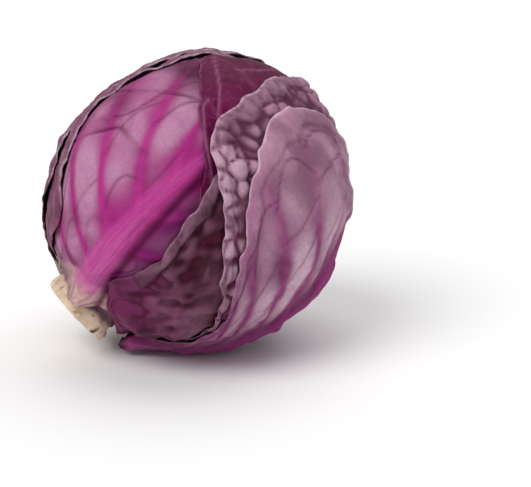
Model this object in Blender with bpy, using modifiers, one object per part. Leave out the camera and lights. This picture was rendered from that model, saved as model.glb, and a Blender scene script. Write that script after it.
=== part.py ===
"""A red cabbage head lying on its side: a cut stalk, the tight heart of inner leaves, and nine wrapper leaves.

Metres, +Z up. The origin is the middle of the small flat spot that the head rests on. The head's long axis
lies in the XZ plane, with the crown towards +X and up, and the cut stalk towards -X and down.

Every surface is given by its distance from the head's centre in each direction. The leaves are made one after
another, from the inside out, and each is laid over the ones that are already there.
"""

import math

import bmesh
import bpy
import numpy as np
from mathutils import Vector, noise
from mathutils.bvhtree import BVHTree

MM = 0.001

# The head's axis and its outside. The heart inside is what the wrapper leaves leave room for.
AXIS_TILT = math.radians(40.0)
HALF_LENGTH = 84.0 * MM
HALF_WIDTH = 77.5 * MM
STEM_DIMPLE_DEPTH = 4.0 * MM
STEM_DIMPLE_ANGLE = math.radians(22.0)
FLAT_DEPTH = 79.0 * MM  # from the centre down to the pressed underside
FLAT_ANGLE = math.radians(11.0)  # from straight down to the edge of the flat spot
PRESSED = 0.35 * MM  # how far the leaf underneath is squeezed by the head's weight
FIRST_ROOM = 7.0 * MM  # for the leaves, before it is fitted
MOST_ROOM = 19.0 * MM
FITTING_ROUNDS = 6
FITTING_WIDTH = math.radians(7.0)
HEART_SUBDIVISIONS = 4

# The wrapper leaves.
BLADE = 1.0 * MM
GAP = 0.5 * MM  # between a leaf and what it lies on
OUTLINE_STATIONS = np.linspace(0.0, 180.0, 9)
BASE_HALF_ANGLE = 8.0  # degrees, seen from the leaf's middle
MIDRIB_SHARE = 0.72  # of the way from the leaf's middle to its tip
ROOT_EASE = 1.25
VEIN_SWEEP = 0.10
CELLS_ALONG = 21
CELLS_ACROSS = 9  # on each side of the midrib
COLUMN_EASE = 1.25
SAMPLES_PER_CELL = 4
BRIDGE_REACH = 3  # samples across a hollow that a leaf spans
BRIDGE_BLUR = 3
CLEARING_ROUNDS = 3
FAR = 0.3  # a point well outside the head, for looking in along a direction

MIDRIB_END_HEIGHT = 0.7 * MM
MIDRIB_HALF_WIDTH = (7.5 * MM, 2.2 * MM)  # at its base and its end
RIB_ROWS = 3  # every third row of the lattice is a side rib
RIB_HEIGHT = 0.9 * MM
BLISTER_SIZE = 24.0 * MM
RUFFLE_SIZE = 13.0 * MM
MARGIN_WAVE = 1.2  # degrees that the cut edge wanders in and out

# The stalk: (distance from the head's centre, radius), from the core's tip out to the cut face.
STALK_PROFILE = (
    (12.0 * MM, 4.5 * MM),
    (17.0 * MM, 8.0 * MM),
    (34.0 * MM, 12.0 * MM),
    (55.0 * MM, 15.5 * MM),
    (70.0 * MM, 17.5 * MM),
    (76.0 * MM, 18.2 * MM),
    (79.0 * MM, 19.6 * MM),
    (82.0 * MM, 20.6 * MM),
    (86.0 * MM, 20.9 * MM),
    (88.4 * MM, 20.2 * MM),
    (89.0 * MM, 18.6 * MM),
    (88.4 * MM, 9.0 * MM),
)
STALK_TIP = 9.0 * MM
STALK_FACE = 88.0 * MM
STALK_SEGMENTS = 32
STUMP_START = 77.0 * MM
SCAR_COUNT = 5
SCAR_DEPTH = 1.3 * MM
CORE_ROOM = 0.5 * MM
STUMP_ROOM = 2.2 * MM

# Each leaf, from the innermost out. "middle" is the polar angle from the stalk and the azimuth round the head
# of the leaf's middle, in degrees: azimuth 0 faces -Y and 90 is underneath. "left" and "right" give the leaf's
# reach from its middle at even steps from its base round to its tip. "midrib" is how high the midrib stands at
# the base, "lift" how far the margin stands off and "blister" how far the blade puckers, in millimetres.
# "sweep", where it isn't the usual VEIN_SWEEP, is how far the side ribs bow back towards the base.
LEAVES = (
    {
        "name": "leaf_back_inner",
        "middle": (88.0, 172.0),
        "left": (71, 62, 66, 68, 70, 70, 68, 66, 64),
        "right": (71, 62, 66, 68, 70, 70, 68, 66, 64),
        "midrib": 1.5,
        "lift": 0.2,
        "blister": 0.3,
        "colour": (0.20, 0.035, 0.11),
    },
    {
        "name": "leaf_front",
        "middle": (80.0, -30.0),
        "left": (63, 58, 60, 62, 66, 69, 70, 69, 66),
        "right": (63, 58, 60, 62, 66, 68, 67, 66, 66),
        "midrib": 5.0,
        "lift": 0.2,
        "blister": 1.0,
        "colour": (0.42, 0.07, 0.24),
    },
    {
        "name": "leaf_crown",
        "middle": (112.0, 25.0),
        "left": (82, 66, 53, 47, 54, 69, 88, 88, 78),
        "right": (82, 68, 58, 55, 58, 62, 68, 73, 78),
        "midrib": 1.0,
        "lift": 0.5,
        "blister": 0.6,
        "colour": (0.14, 0.02, 0.07),
    },
    {
        "name": "leaf_top",
        "middle": (85.0, -148.0),
        "left": (68, 60, 60, 63, 66, 68, 70, 73, 74),
        "right": (68, 72, 81, 66, 58, 61, 69, 74, 74),
        "midrib": 1.5,
        "lift": 0.6,
        "blister": 0.7,
        "colour": (0.24, 0.08, 0.15),
    },
    {
        "name": "leaf_under",
        "middle": (80.0, 125.0),
        "left": (63, 58, 60, 63, 66, 68, 67, 64, 62),
        "right": (63, 58, 60, 63, 66, 68, 67, 64, 62),
        "midrib": 1.5,
        "lift": 0.4,
        "blister": 0.5,
        "colour": (0.17, 0.04, 0.10),
    },
    {
        "name": "leaf_bottom",
        "middle": (68.0, 60.0),
        "left": (51, 54, 65, 65, 77, 93, 86, 76, 72),
        "right": (51, 50, 58, 66, 70, 72, 73, 73, 72),
        "midrib": 1.0,
        "lift": 1.0,
        "blister": 0.8,
        "colour": (0.11, 0.03, 0.06),
    },
    {
        "name": "leaf_right",
        "middle": (100.0, 65.0),
        "left": (80, 59, 52, 60, 73, 95, 95, 92, 88),
        "right": (80, 78, 76, 74, 72, 74, 78, 84, 88),
        "sweep": 0.02,
        "midrib": 0.8,
        "lift": 1.2,
        "blister": 1.2,
        "colour": (0.30, 0.13, 0.22),
    },
    {
        "name": "leaf_rear_outer",
        "middle": (85.0, -170.0),
        "left": (68, 60, 60, 63, 66, 69, 72, 76, 78),
        "right": (68, 72, 78, 70, 68, 76, 79, 80, 78),
        "midrib": 1.8,
        "lift": 0.8,
        "blister": 1.0,
        "colour": (0.22, 0.09, 0.15),
    },
    {
        "name": "leaf_right_outer",
        "middle": (96.0, 62.0),
        "left": (77, 55, 44, 49, 58, 73, 84, 77, 62),
        "right": (77, 76, 78, 76, 72, 68, 64, 62, 62),
        "sweep": 0.02,
        "midrib": 1.4,
        "lift": 1.4,
        "blister": 0.8,
        "colour": (0.34, 0.16, 0.25),
    },
)
HEART_COLOUR = (0.20, 0.05, 0.12)
STALK_COLOUR = (0.62, 0.50, 0.36)

CROWN_WARD = np.array((math.cos(AXIS_TILT), 0.0, math.sin(AXIS_TILT)))
FRONT_WARD = np.array((0.0, -1.0, 0.0))
UNDER_WARD = np.array((math.sin(AXIS_TILT), 0.0, -math.cos(AXIS_TILT)))


def clear_scene():
    for item in list(bpy.data.objects):
        bpy.data.objects.remove(item)


def plain_material(name, colour, roughness):
    material = bpy.data.materials.new(name)
    material.use_nodes = True
    shader = material.node_tree.nodes["Principled BSDF"]
    shader.inputs["Base Color"].default_value = (*colour, 1.0)
    shader.inputs["Roughness"].default_value = roughness
    shader.inputs["Metallic"].default_value = 0.0
    return material


def baked(item):
    """Replaces the object's mesh with what its modifiers make of it, so that its vertices can be moved."""
    graph = bpy.context.evaluated_depsgraph_get()
    mesh = bpy.data.meshes.new_from_object(item.evaluated_get(graph))
    item.modifiers.clear()
    item.data = mesh
    return item


def points_of(item):
    flat = np.empty(len(item.data.vertices) * 3)
    item.data.vertices.foreach_get("co", flat)
    return flat.reshape(-1, 3)


def move_points(item, points):
    item.data.vertices.foreach_set("co", points.ravel())
    item.data.update()


def face_out(item):
    shape = bmesh.new()
    shape.from_mesh(item.data)
    bmesh.ops.recalc_face_normals(shape, faces=shape.faces)
    shape.to_mesh(item.data)
    shape.free()


def unit(vectors):
    return vectors / np.linalg.norm(vectors, axis=-1, keepdims=True)


def smooth_steps(values, at):
    """A smooth curve through values at the outline's stations, read at some angles in degrees."""
    values = np.asarray(values, float)
    slopes = np.gradient(values, OUTLINE_STATIONS)
    slopes[0] = slopes[-1] = 0.0
    step = OUTLINE_STATIONS[1]
    index = np.clip((at / step).astype(int), 0, len(values) - 2)
    x = at / step - index
    start = (1 + 2 * x) * (1 - x) ** 2 * values[index] + x * (1 - x) ** 2 * step * slopes[index]
    end = x * x * (3 - 2 * x) * values[index + 1] + x * x * (x - 1) * step * slopes[index + 1]
    return start + end


def bumps(directions, size, seed):
    """Smooth noise from about -1 to 1 over the head, with lumps of the given size."""
    scale = HALF_WIDTH / size
    offset = Vector((7.3 * seed, -3.1 * seed, 5.7 * seed))
    values = [noise.noise(Vector(d) * scale + offset) for d in directions.reshape(-1, 3)]
    return 1.6 * np.array(values).reshape(directions.shape[:-1])


def polar_direction(polar, azimuth):
    """The unit direction at an angle from the stalk's axis and an azimuth round it, both in radians."""
    round_axis = math.cos(azimuth) * FRONT_WARD + math.sin(azimuth) * UNDER_WARD
    return -math.cos(polar) * CROWN_WARD + math.sin(polar) * round_axis


def head_radius(directions):
    """The whole head: an ellipsoid with a dimple round the stalk and its underside pressed flat."""
    along = directions @ CROWN_WARD
    radius = 1 / np.sqrt((along / HALF_LENGTH) ** 2 + (1 - along**2) / HALF_WIDTH**2)
    from_stalk = np.arccos(np.clip(-along, -1, 1))
    radius -= STEM_DIMPLE_DEPTH * np.exp(-((from_stalk / STEM_DIMPLE_ANGLE) ** 2))
    down = np.maximum(-directions[..., 2], 1e-6)
    return np.minimum(radius, FLAT_DEPTH / down)


def leaf_lattice(cells_along, cells_across):
    """The leaf's lattice: along is 0 at the base and 1 at the tip, across is -1 and 1 at the margins.
    The rows run the way the side ribs do, out from the midrib and forward."""
    along = np.linspace(0.0, 1.0, cells_along + 1)
    across = np.linspace(-1.0, 1.0, 2 * cells_across + 1)
    across = np.sign(across) * np.abs(across) ** COLUMN_EASE
    return np.meshgrid(along, across, indexing="ij")


def leaf_plan(leaf, along, across):
    """Where each lattice point is on the leaf's flat plan: degrees from its middle, to the tip and to the right."""
    turn = BASE_HALF_ANGLE + (180.0 - BASE_HALF_ANGLE) * along
    reach = np.where(across < 0, smooth_steps(leaf["left"], turn), smooth_steps(leaf["right"], turn))
    base, tip = leaf["left"][0], leaf["left"][-1]
    root = -base + (base + MIDRIB_SHARE * tip) * along**ROOT_EASE
    end_forward = -reach * np.cos(np.radians(turn))
    end_side = reach * np.sin(np.radians(turn)) * np.sign(across)
    out = np.abs(across)
    length = np.hypot(end_forward - root, end_side)
    sweep = 4 * leaf.get("sweep", VEIN_SWEEP) * length * out * (1 - out) * np.sin(np.pi * along)
    forward = root + (end_forward - root) * out - sweep
    return forward, end_side * out


def leaf_directions(leaf, along, across):
    forward, side = leaf_plan(leaf, along, across)
    polar, azimuth = np.radians(leaf["middle"])
    middle = polar_direction(polar, azimuth)
    to_tip = polar_direction(polar + math.pi / 2, azimuth)
    to_right = polar_direction(math.pi / 2, azimuth + math.pi / 2)
    far = np.radians(np.hypot(forward, side))
    pull = np.sin(far) / np.maximum(far, 1e-9)
    return (
        np.cos(far)[..., None] * middle
        + (pull * np.radians(forward))[..., None] * to_tip
        + (pull * np.radians(side))[..., None] * to_right
    )


def waved_leaf(leaf, seed):
    """The leaf with its margin wandering in and out, which changes the outline's reaches."""
    rng = np.random.default_rng(seed)
    waved = dict(leaf)
    for side in ("left", "right"):
        reaches = np.array(leaf[side], float)
        reaches[1:-1] += rng.uniform(-MARGIN_WAVE, MARGIN_WAVE, len(reaches) - 2)
        waved[side] = tuple(reaches)
    return waved


def spread(field, steps, combine):
    """Each value is combined with those round it, a number of times."""
    rows, columns = field.shape
    for _ in range(steps):
        padded = np.pad(field, 1, mode="edge")
        field = combine([padded[i : i + rows, j : j + columns] for i in range(3) for j in range(3)], axis=0)
    return field


def top_radius(tree, directions):
    """How far out the pieces in the tree reach in each direction, looking in from outside."""
    flat = directions.reshape(-1, 3)
    hits = (tree.ray_cast(Vector(d) * FAR, -Vector(d)) for d in flat)
    radii = [FAR - hit[3] if hit[0] is not None else 0.0 for hit in hits]
    return np.array(radii).reshape(directions.shape[:-1])


def refined(points):
    """The lattice with extra samples along the straight lines between its points."""
    rows, columns = points.shape[:2]
    at = np.arange((rows - 1) * SAMPLES_PER_CELL + 1) / SAMPLES_PER_CELL
    low = np.minimum(at.astype(int), rows - 2)
    part = (at - low)[:, None, None]
    points = points[low] * (1 - part) + points[low + 1] * part
    at = np.arange((columns - 1) * SAMPLES_PER_CELL + 1) / SAMPLES_PER_CELL
    low = np.minimum(at.astype(int), columns - 2)
    part = (at - low)[None, :, None]
    return points[:, low] * (1 - part) + points[:, low + 1] * part


def draped_radius(directions, below):
    """The leaf's inner surface on its lattice: it bridges the hollows of what lies below it, and its flat
    facets stay clear of that by the gap."""
    top = spread(top_radius(below, unit(refined(directions))), 1, np.max)
    smooth = spread(spread(top, BRIDGE_REACH, np.max), BRIDGE_REACH, np.min)
    smooth = spread(smooth, BRIDGE_BLUR, np.mean)
    every = slice(None, None, SAMPLES_PER_CELL)
    radius = smooth[every, every] + GAP
    for _ in range(CLEARING_ROUNDS):
        reached = np.linalg.norm(refined(directions * radius[..., None]), axis=-1)
        short = spread(np.maximum(top + GAP - reached, 0), SAMPLES_PER_CELL - 1, np.max)
        radius = radius + short[every, every]
        radius[-1] = np.maximum(radius[-1], radius[-1][::-1])
    return radius


def leaf_thickness(leaf, along, across):
    """The blade with its midrib and side ribs standing out of its outer face."""
    forward, side = leaf_plan(leaf, along, across)
    base, tip = leaf["left"][0], leaf["left"][-1]
    way = np.clip((forward + base) / (base + MIDRIB_SHARE * tip), 0, 1)
    height = leaf["midrib"] * MM * (1 - way) + MIDRIB_END_HEIGHT
    half_width = MIDRIB_HALF_WIDTH[0] * (1 - way) + MIDRIB_HALF_WIDTH[1]
    distance = np.radians(np.abs(side)) * HALF_WIDTH
    fade = np.clip((1 - along) * 5, 0, 1)
    midrib = height * fade * np.exp(-((distance / half_width) ** 2))
    row = np.round(along * CELLS_ALONG).astype(int)
    rib = RIB_HEIGHT * (row % RIB_ROWS == 1) * (1 - np.abs(across)) * fade
    return BLADE + midrib + rib


def leaf_lift(leaf, directions, across, seed):
    """How far the blade puckers and its margin stands off, over its draped place. Both lie flat underneath."""
    out = np.abs(across)
    blister = leaf["blister"] * MM * np.abs(bumps(directions, BLISTER_SIZE, seed))
    ruffle = leaf["lift"] * MM * (0.6 + bumps(directions, RUFFLE_SIZE, seed + 50))
    lift = blister * np.minimum(1, 4 * out) * (1 - out**4) + np.maximum(ruffle, 0) * out**5
    return lift * np.clip((directions[..., 2] + 0.97) / 0.2, 0, 1)


def leaf_mesh(name, places, thickness):
    """A closed mesh: the sheet through the lattice's places, and a copy of it raised by the thickness."""
    rows, columns = thickness.shape
    shape = bmesh.new()
    bmesh.ops.create_grid(shape, x_segments=rows - 1, y_segments=columns - 1, size=1.0)
    rise = shape.verts.layers.float.new("rise")
    in_order = sorted(shape.verts, key=lambda vertex: (round(vertex.co.x, 5), round(vertex.co.y, 5)))
    for vertex, place, thick in zip(in_order, places.reshape(-1, 3), thickness.ravel()):
        vertex.co = place
        vertex[rise] = thick
    bmesh.ops.remove_doubles(shape, verts=shape.verts, dist=0.01 * MM)
    bmesh.ops.triangulate(shape, faces=shape.faces)
    raised = bmesh.ops.extrude_face_region(shape, geom=shape.faces[:], use_keep_orig=True)["geom"]
    for vertex in raised:
        if isinstance(vertex, bmesh.types.BMVert):
            vertex.co += vertex.co.normalized() * vertex[rise]
    bmesh.ops.recalc_face_normals(shape, faces=shape.faces)
    mesh = bpy.data.meshes.new(name)
    shape.to_mesh(mesh)
    shape.free()
    return mesh


def make_leaf(leaf, seed, below, collection):
    """One wrapper leaf, laid over the pieces in the tree."""
    leaf = waved_leaf(leaf, seed)
    along, across = leaf_lattice(CELLS_ALONG, CELLS_ACROSS)
    directions = leaf_directions(leaf, along, across)
    radius = draped_radius(directions, below) + leaf_lift(leaf, directions, across, seed)
    places = directions * radius[..., None]
    item = bpy.data.objects.new(leaf["name"], leaf_mesh(leaf["name"], places, leaf_thickness(leaf, along, across)))
    collection.objects.link(item)
    item.data.materials.append(plain_material(leaf["name"], leaf["colour"], 0.45))
    item.data.shade_smooth()
    return item


def make_heart(collection):
    """The tight inner leaves, as one dense ball under the wrappers."""
    shape = bmesh.new()
    bmesh.ops.create_icosphere(shape, subdivisions=HEART_SUBDIVISIONS, radius=1.0)
    mesh = bpy.data.meshes.new("heart")
    shape.to_mesh(mesh)
    shape.free()
    item = bpy.data.objects.new("heart", mesh)
    collection.objects.link(item)
    item.data.materials.append(plain_material("heart", HEART_COLOUR, 0.5))
    item.data.shade_smooth()
    return item


def wrap(heart, collection):
    """Lays every leaf over the heart and the leaves before it."""
    leaves = []
    for seed, leaf in enumerate(LEAVES):
        leaves.append(make_leaf(leaf, seed, tree_of([heart, *leaves]), collection))
    return leaves


def fitted_head(collection):
    """The heart and its leaves. The heart gives way under them until the outside has the head's shape."""
    heart = make_heart(collection)
    directions = unit(points_of(heart))
    radius = head_radius(directions) - FIRST_ROOM
    nearness = np.exp(-((np.arccos(np.clip(directions @ directions.T, -1, 1)) / FITTING_WIDTH) ** 2))
    for _ in range(FITTING_ROUNDS):
        move_points(heart, directions * radius[:, None])
        leaves = wrap(heart, collection)
        excess = top_radius(tree_of([heart, *leaves]), directions) - head_radius(directions)
        radius = nearness @ (radius - excess) / nearness.sum(axis=1)
        radius = np.maximum(radius, head_radius(directions) - MOST_ROOM)
        for leaf in leaves:
            bpy.data.objects.remove(leaf)
    move_points(heart, directions * radius[:, None])
    return heart, wrap(heart, collection)


def turned_stalk(name, core_room, stump_room, collection):
    """The stalk's turned form, its axis along the head's. One with room round it cuts the heart's socket."""
    mesh = bpy.data.meshes.new(name)
    points = [(0.0, 0.0, core_room - STALK_TIP)]
    for place, radius in STALK_PROFILE:
        room = stump_room if place >= STUMP_START - 1 * MM else core_room
        points.append((radius + room, 0.0, -place))
    points.append((0.0, 0.0, -STALK_FACE - stump_room))
    mesh.from_pydata(points, [(i, i + 1) for i in range(len(points) - 1)], [])
    item = bpy.data.objects.new(name, mesh)
    collection.objects.link(item)
    screw = item.modifiers.new("Turned", "SCREW")
    screw.steps = screw.render_steps = STALK_SEGMENTS
    screw.use_merge_vertices = True
    screw.merge_threshold = 0.01 * MM
    item = baked(item)
    move_points(item, points_of(item) @ np.array((FRONT_WARD, UNDER_WARD, CROWN_WARD)))
    face_out(item)
    return item


def scarred_stalk(collection):
    """The stalk, with the scars and broken bases of the leaves that were cut from its stump."""
    item = turned_stalk("stalk", 0.0, 0.0, collection)
    points = points_of(item)
    along = points @ CROWN_WARD
    outward = points - along[:, None] * CROWN_WARD
    azimuth = np.arctan2(points @ UNDER_WARD, points @ FRONT_WARD)
    directions = unit(points)
    on_stump = np.clip((-along - STUMP_START) / (3 * MM), 0, 1)
    spiral = np.sin(SCAR_COUNT * azimuth + along / (2.2 * MM))
    rough = 0.5 * bumps(directions, 6.0 * MM, 91)
    push = on_stump * SCAR_DEPTH * (0.6 * spiral + rough)
    radius = np.maximum(np.linalg.norm(outward, axis=1), 1e-6)
    move_points(item, points + outward * (push / radius * np.clip(radius / (8 * MM), 0, 1))[:, None])
    item.data.materials.append(plain_material("stalk", STALK_COLOUR, 0.8))
    item.data.shade_smooth()
    return item


def cut_socket(heart, helpers):
    """Room in the heart for the stalk's core."""
    cutter = turned_stalk("socket_cutter", CORE_ROOM, STUMP_ROOM, helpers)
    cutter.hide_render = True
    cutter.display_type = "WIRE"
    cut = heart.modifiers.new("Socket", "BOOLEAN")
    cut.operation = "DIFFERENCE"
    cut.object = cutter
    return cutter


def tree_of(items):
    """One search tree over the surfaces of several pieces."""
    points, faces = [], []
    for item in items:
        first = len(points)
        points += [vertex.co.copy() for vertex in item.data.vertices]
        faces += [[first + i for i in polygon.vertices] for polygon in item.data.polygons]
    return BVHTree.FromPolygons(points, faces)


def outer_face(item):
    """Which points of a leaf are on its outer face: those whose normal leans away from the head's centre."""
    normals = np.array([vertex.normal for vertex in item.data.vertices])
    return (normals * unit(points_of(item))).sum(axis=1) > 0.0


def set_down(heart, leaves, others):
    """Moves the head so that it stands on z = 0, with a flat spot where the outermost leaf is pressed."""
    down = np.array([[0.0, 0.0, -1.0]])
    lowest = min(points_of(leaf)[:, 2].min() for leaf in leaves) + PRESSED
    outermost = max(leaves, key=lambda leaf: top_radius(tree_of([leaf]), down)[0])
    for item in [heart, *leaves, *others]:
        points = points_of(item)
        if item is outermost:
            outer = outer_face(item)
            below = -unit(points)[:, 2] > math.cos(FLAT_ANGLE)
            points[outer & below, 2] = lowest
        points[:, 2] = points[:, 2] - lowest
        if item in leaves:
            points[:, 2] = np.maximum(points[:, 2], 0.0)
        move_points(item, points)


def main():
    clear_scene()
    head = bpy.data.collections.new("red_cabbage_head")
    helpers = bpy.data.collections.new("cutters")
    for collection in (head, helpers):
        bpy.context.scene.collection.children.link(collection)
    heart, leaves = fitted_head(head)
    stalk = scarred_stalk(head)
    cutter = cut_socket(heart, helpers)
    set_down(heart, leaves, [stalk, cutter])


main()
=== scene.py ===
"""The looks of the red cabbage head: fine leaves with veins, puckers and wavy margins, and the corky stump.

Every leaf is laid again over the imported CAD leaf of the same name, on a finer lattice. Distances are in
metres and the frame is the CAD's. The head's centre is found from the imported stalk.
"""

import math

import bmesh
import bpy
import numpy as np
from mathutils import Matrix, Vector, noise
from mathutils.bvhtree import BVHTree
from mathutils.kdtree import KDTree

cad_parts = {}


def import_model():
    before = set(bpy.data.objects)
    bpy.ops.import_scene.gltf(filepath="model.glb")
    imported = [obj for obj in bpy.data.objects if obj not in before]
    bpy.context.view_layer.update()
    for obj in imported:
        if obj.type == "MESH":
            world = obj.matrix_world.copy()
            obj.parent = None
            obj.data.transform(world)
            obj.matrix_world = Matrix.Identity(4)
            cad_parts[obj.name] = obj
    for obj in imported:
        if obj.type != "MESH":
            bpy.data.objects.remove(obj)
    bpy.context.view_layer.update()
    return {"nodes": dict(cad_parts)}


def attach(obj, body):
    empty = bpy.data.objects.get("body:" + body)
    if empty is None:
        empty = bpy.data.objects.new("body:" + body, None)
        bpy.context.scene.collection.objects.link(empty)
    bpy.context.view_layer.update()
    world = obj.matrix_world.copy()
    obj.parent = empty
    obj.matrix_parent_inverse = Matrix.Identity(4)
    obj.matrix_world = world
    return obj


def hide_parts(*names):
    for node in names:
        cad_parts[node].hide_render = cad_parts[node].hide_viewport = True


MM = 0.001
DEGREE = math.pi / 180

# The head, as in the CAD source.
AXIS_TILT = 40.0 * DEGREE
HALF_WIDTH = 77.5 * MM
STALK_TIP = 9.0 * MM  # from the head's centre, towards the stump
FLAT_ANGLE = 11.0 * DEGREE
PLAN_SCALE = HALF_WIDTH * DEGREE  # metres on the leaf for a degree of its plan
CROWN_WARD = np.array((math.cos(AXIS_TILT), 0.0, math.sin(AXIS_TILT)))
FRONT_WARD = np.array((0.0, -1.0, 0.0))
UNDER_WARD = np.array((math.sin(AXIS_TILT), 0.0, -math.cos(AXIS_TILT)))

# The leaves' lattice, as in the CAD source, with angles in degrees.
OUTLINE_STATIONS = np.linspace(0.0, 180.0, 9)
BASE_HALF_ANGLE = 8.0
MIDRIB_SHARE = 0.72
ROOT_EASE = 1.25
VEIN_SWEEP = (0.10, 0.02)  # of a side rib's length, for a leaf with curved ribs and one with straight ones
CELLS_ALONG = 21
CELLS_ACROSS = 9
COLUMN_EASE = 1.25
MARGIN_WAVE = 1.2
RIB_ROWS = 3
RIB_LAG = 0.20  # how much lower on the midrib a side rib starts than its row does
SAME_DIRECTION = 0.0025  # between unit directions of one lattice point's inner and outer places

# The fine leaf.
BLADE_THICKNESS = 1.0 * MM
MARGIN_THICKNESS = 0.6 * MM
CLEARANCE = 0.12 * MM
HUG_FROM = 0.6  # of the way out to the margin, from where the blade lies closer than its CAD solid
HUG_ROOM = 0.4 * MM
FAR = 0.3  # metres from the head's centre, where rays start
MIDRIB_END_HEIGHT = 0.7 * MM
MIDRIB_HALF_WIDTH = (7.5 * MM, 2.2 * MM)
SIDE_RIB_HEIGHT = (1.5 * MM, 0.35 * MM)  # at the midrib and at the margin
SIDE_RIB_HALF_WIDTH = (2.6 * MM, 0.8 * MM)
LINK_HALF_WIDTH = 0.8 * MM
LINKS_A_GAP = 4
GROOVE_HALF_WIDTH = 2.4 * MM
MARGIN_NOTCH_SIZE = 8.0 * MM
MARGIN_NOTCH_REACH = 1.1  # degrees that the fine margin wanders in and out
FRILL_SIZE = 10.0 * MM
# How wide the painted highlight along the margin's edge is.
RIM_HIGHLIGHT_WIDTH = 0.8 * MM
PUCKER_SIZE = 8.5 * MM
MOST_PUCKER = 2.8  # millimetres
CREASE_SIZE = 10.0 * MM
ARC_HALF_WIDTH = 1.1 * MM
ARC_TURNS = (-66.0, -9.0)  # degrees round the leaf's base, from the way to its tip
BAND_WIDTH = 11.0 * MM  # of the folded strip along a margin
FOLD_SHADE_HALF_WIDTH = 1.3 * MM  # of the painted shade line on its inner side
RELIEF_FROM = -0.97  # a direction's upward part, below which the blade has no relief
RELIEF_EASE = 0.2  # from there to the full relief

# The leaves' material: how fine its noises are, in lumps a metre.
PATCH_SCALE = 32.0
MOTTLE_SCALE = 170.0
SPECKLE_SCALE = 900.0
NET_SCALE = 190.0
WOBBLE_SCALE = 60.0
WOBBLE = 0.012  # metres that the net of the finest veins is pushed about
STREAKS = (700.0, 25.0, 1.0)  # across the midrib and along it
LEAF_IOR = 1.15  # a matt waxy skin, which hardly mirrors the sky
LEAF_SPECULAR = 0.4

# The stalk: (distance from the head's centre, radius) in millimetres, as in the CAD source.
STALK_PROFILE = (
    (12.0, 4.5),
    (17.0, 8.0),
    (34.0, 12.0),
    (55.0, 15.5),
    (70.0, 17.5),
    (76.0, 18.2),
    (79.0, 19.6),
    (82.0, 20.6),
    (86.0, 20.9),
    (88.4, 20.2),
    (89.0, 18.6),
    (88.4, 9.0),
    (88.0, 0.0),
)
STALK_STEPS = 8
STALK_SEGMENTS = 180
STUMP_START = 77.0 * MM
CUT_FACE_START = 86.0 * MM
SCAR_COUNT = 5
SCAR_RISE = 2.2 * MM  # how steeply the scars wind round the stump
SCAR_DEPTH = 1.3 * MM
CRACK_DEPTH = 0.5 * MM
STUMP_NOTCH_AZIMUTH = 75.0 * DEGREE
STUMP_NOTCH_HALF_ANGLE = 16.0 * DEGREE
STUMP_NOTCH_PLACE = 82.0 * MM
STUMP_NOTCH_DEPTH = 3.0 * MM
NECK_END = 80.5 * MM  # of the purple remains round the stump
PETIOLE_AZIMUTH = -95.0 * DEGREE  # of the pale broken leaf base
PETIOLE_HALF_ANGLE = 25.0 * DEGREE
PETIOLE_END = 78.0 * MM
JOIN_DISTANCE = 0.001 * MM  # between points that are one

# The photograph's frame: the head's centre falls on this pixel of the picture.
PICTURE_SIZE = (531, 487)
CENTRE_PIXEL = (197.5, 200.0)
METRES_A_PIXEL = 0.000539
CAMERA_AZIMUTH = -13.0
CAMERA_ELEVATION = 15.0
CAMERA_DISTANCE = 0.95
SENSOR_WIDTH = 36.0

# Each sun's azimuth, elevation and breadth in degrees, and its strength.
SUNS = {"key": (-62.0, 50.0, 40.0, 1.7), "top": (140.0, 65.0, 60.0, 1.1)}
SKY_STRENGTH = 0.42


def leaf(name, middle, left, right, midrib, fine, looks, straight=False, arcs=(), **heights):
    """A leaf's numbers. Heights are in millimetres: frill, pillow, pucker, crease, roll and groove."""
    return {
        "name": name,
        "middle": middle,
        "left": left,
        "right": right,
        "midrib": midrib,
        "fine": fine,
        "looks": looks,
        "straight": straight,
        "arcs": arcs,
        **dict.fromkeys(("frill", "pillow", "pucker", "crease", "roll", "groove"), 0.0),
        **heights,
    }


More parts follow.
